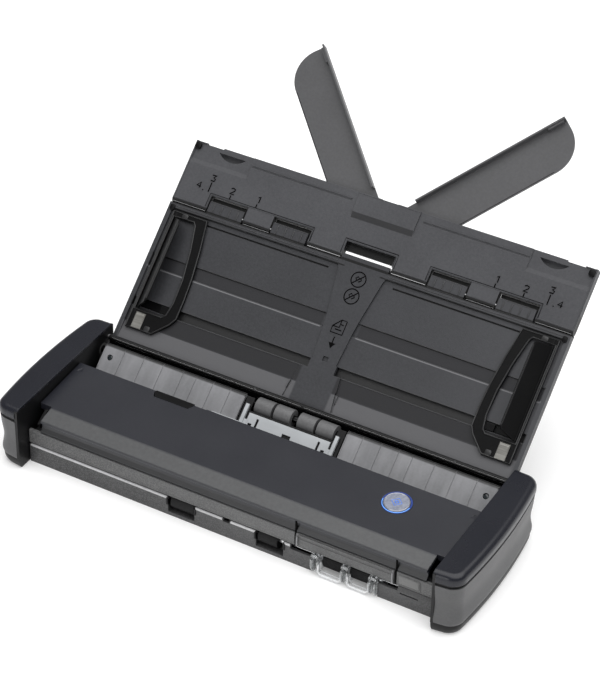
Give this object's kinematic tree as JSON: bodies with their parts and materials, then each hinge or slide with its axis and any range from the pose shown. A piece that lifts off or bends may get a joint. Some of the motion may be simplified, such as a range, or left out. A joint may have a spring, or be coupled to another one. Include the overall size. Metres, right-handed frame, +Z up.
{
  "type": "sheet fed document scanner",
  "caption": "Portable sheet fed document scanner with a fold-up feed tray, folding extension, swing-out paper arms, sliding side guides and a front cover that opens forward.",
  "frame": {"origin": "centre of the body's underside, on the surface it stands on", "axes": "+Z up, +X to the right along the body's length, +Y to the back, the paper comes out towards -Y"},
  "size_m": [0.2848, 0.2426, 0.1618],
  "materials": {
    "cap_satin": "satin",
    "side_silver": "satin",
    "black_moulding": "matte",
    "front_texture": "fine grain",
    "guide_grey": "satin",
    "pale_plastic": "translucent",
    "clear_plastic": "clear",
    "roller_rubber": "matte",
    "foot_rubber": "matte",
    "shaft_steel": "satin",
    "bush_plastic": "matte",
    "sensor_glass": "clear",
    "board_green": "solder resist",
    "tray_charcoal": "fine grain",
    "guide_black": "satin",
    "arm_grey": "fine grain",
    "button_metal": "spun",
    "ring_blue": "lit"
  },
  "bodies": {
    "chassis": {"base_plate": "front_texture", "rear_cover": "black_moulding", "lower_frame": "black_moulding", "end_base_left": "black_moulding", "end_base_right": "black_moulding", "side_panel_left": "side_silver", "side_panel_right": "side_silver", "end_frame_left": "black_moulding", "end_frame_right": "black_moulding", "end_cap_left": "cap_satin", "end_cap_right": "cap_satin", "feed_guide_left": "guide_grey", "feed_guide_right": "guide_grey", "roller_cover": "pale_plastic", "card_guide": "clear_plastic", "roller_bushes": "bush_plastic", "rubber_feet": "foot_rubber", "base_screws": "shaft_steel", "lower_sensor": "bush_plastic", "lower_glass": "sensor_glass", "main_board": "board_green", "usb_socket": "shaft_steel", "power_socket": "bush_plastic", "drive_motor": "shaft_steel", "drive_belts": "foot_rubber"},
    "eject_roller": {"eject_shaft": "shaft_steel", "eject_tyres": "roller_rubber", "eject_pulley": "bush_plastic"},
    "pickup_roller": {"pickup_shaft": "shaft_steel", "pickup_tyres": "roller_rubber", "pickup_pulley": "bush_plastic"},
    "feed_roller": {"feed_roller": "roller_rubber"},
    "motor_pulley": {"motor_pulley": "bush_plastic"},
    "upper_unit": {"top_cover": "cap_satin", "front_plate": "front_texture", "card_flap": "front_texture", "upper_frame": "black_moulding", "upper_sensor": "bush_plastic", "upper_glass": "sensor_glass", "cover_pivots": "shaft_steel", "button_ring": "ring_blue"},
    "start_button": {"start_button": "button_metal"},
    "open_lever": {"open_lever": "guide_black"},
    "retard_roller": {"retard_roller": "roller_rubber"},
    "pinch_rollers": {"pinch_rollers": "roller_rubber"},
    "feed_tray": {"tray_panel": "tray_charcoal", "tray_shell": "tray_charcoal", "tray_hinge_pins": "shaft_steel", "extension_hinge_pins": "shaft_steel"},
    "guide_left": {"guide_base_left": "guide_black", "guide_clip_left": "shaft_steel"},
    "guide_right": {"guide_base_right": "guide_black", "guide_clip_right": "shaft_steel"},
    "wall_left": {"guide_wall_left": "guide_black"},
    "wall_right": {"guide_wall_right": "guide_black"},
    "guide_pinion": {"guide_pinion": "bush_plastic"},
    "extension": {"extension_panel": "tray_charcoal", "extension_shell": "tray_charcoal"},
    "arm_left": {"arm_left": "arm_grey"},
    "arm_right": {"arm_right": "arm_grey"}
  },
  "joints": [
    {"name": "tray_fold", "type": "hinge", "parent": "chassis", "child": "feed_tray", "pos_m": [0, 0.04217, 0.03283], "axis": [1, 0, 0], "range_deg": [0, 138.9]},
    {"name": "extension_fold", "type": "hinge", "parent": "feed_tray", "child": "extension", "pos_m": [0, 0.11119, 0.08667], "axis": [1, 0, 0], "range_deg": [0, 90]},
    {"name": "arm_left_swing", "type": "hinge", "parent": "extension", "child": "arm_left", "pos_m": [-0.015, 0.13025, 0.10224], "axis": [0, -0.6574, 0.7536], "range_deg": [0, 48.3]},
    {"name": "arm_right_swing", "type": "hinge", "parent": "extension", "child": "arm_right", "pos_m": [0.015, 0.13025, 0.10224], "axis": [0, 0.6574, -0.7536], "range_deg": [0, 48.3]},
    {"name": "guide_left_slide", "type": "slide", "parent": "feed_tray", "child": "guide_left", "axis": [1, 0, 0], "range_m": [0, 0.072]},
    {"name": "guide_right_slide", "type": "slide", "parent": "feed_tray", "child": "guide_right", "axis": [-1, 0, 0], "range_m": [0, 0.072]},
    {"name": "guide_pinion_turn", "type": "hinge", "parent": "feed_tray", "child": "guide_pinion", "pos_m": [0, 0.06372, 0.04433], "axis": [0, -0.6574, 0.7536], "range_deg": [-862, 2]},
    {"name": "wall_left_fold", "type": "hinge", "parent": "guide_left", "child": "wall_left", "pos_m": [-0.117, 0.08011, 0.06281], "axis": [0, 0.7536, 0.6574], "range_deg": [0, 52.2]},
    {"name": "wall_right_fold", "type": "hinge", "parent": "guide_right", "child": "wall_right", "pos_m": [0.117, 0.08011, 0.06281], "axis": [0, -0.7536, -0.6574], "range_deg": [0, 52.2]},
    {"name": "cover_open", "type": "hinge", "parent": "chassis", "child": "upper_unit", "pos_m": [0, -0.0366, 0.0137], "axis": [-1, 0, 0], "range_deg": [-60, 0]},
    {"name": "lever_pull", "type": "hinge", "parent": "upper_unit", "child": "open_lever", "pos_m": [-0.063, 0.0089, 0.0328], "axis": [-1, 0, 0], "range_deg": [-14, 0], "stiffness_Nm_per_rad": 0.02},
    {"name": "button_press", "type": "slide", "parent": "upper_unit", "child": "start_button", "axis": [0, 0.0549, -0.9985], "range_m": [0, 0.0008], "stiffness_N_per_m": 400},
    {"name": "eject_spin", "type": "hinge", "parent": "chassis", "child": "eject_roller", "pos_m": [0, -0.0324, 0.0078], "axis": [1, 0, 0], "continuous": true},
    {"name": "motor_spin", "type": "hinge", "parent": "chassis", "child": "motor_pulley", "pos_m": [0.129, 0.0275, 0.0105], "axis": [1, 0, 0], "continuous": true},
    {"name": "pickup_spin", "type": "hinge", "parent": "chassis", "child": "pickup_roller", "pos_m": [0, 0.03566, 0.02835], "axis": [1, 0, 0], "continuous": true},
    {"name": "feed_spin", "type": "hinge", "parent": "chassis", "child": "feed_roller", "pos_m": [0, 0.0126, 0.0124], "axis": [1, 0, 0], "continuous": true},
    {"name": "retard_spin", "type": "hinge", "parent": "upper_unit", "child": "retard_roller", "pos_m": [0, 0.0126, 0.0238], "axis": [1, 0, 0], "continuous": true},
    {"name": "pinch_spin", "type": "hinge", "parent": "upper_unit", "child": "pinch_rollers", "pos_m": [0.027, -0.0324, 0.015], "axis": [1, 0, 0], "continuous": true}
  ],
  "couplings": [
    {"joint": "guide_right_slide", "follows": "guide_left_slide", "ratio": 1},
    {"joint": "guide_pinion_turn", "follows": "guide_left_slide", "rad_per_m": -208.33},
    {"joint": "wall_left_fold", "follows": "tray_fold", "ratio": 0.37221},
    {"joint": "wall_right_fold", "follows": "tray_fold", "ratio": 0.37221},
    {"joint": "motor_spin", "follows": "eject_spin", "ratio": 1.4},
    {"joint": "pickup_spin", "follows": "eject_spin", "ratio": 1},
    {"joint": "feed_spin", "follows": "eject_spin", "ratio": 1}
  ]
}
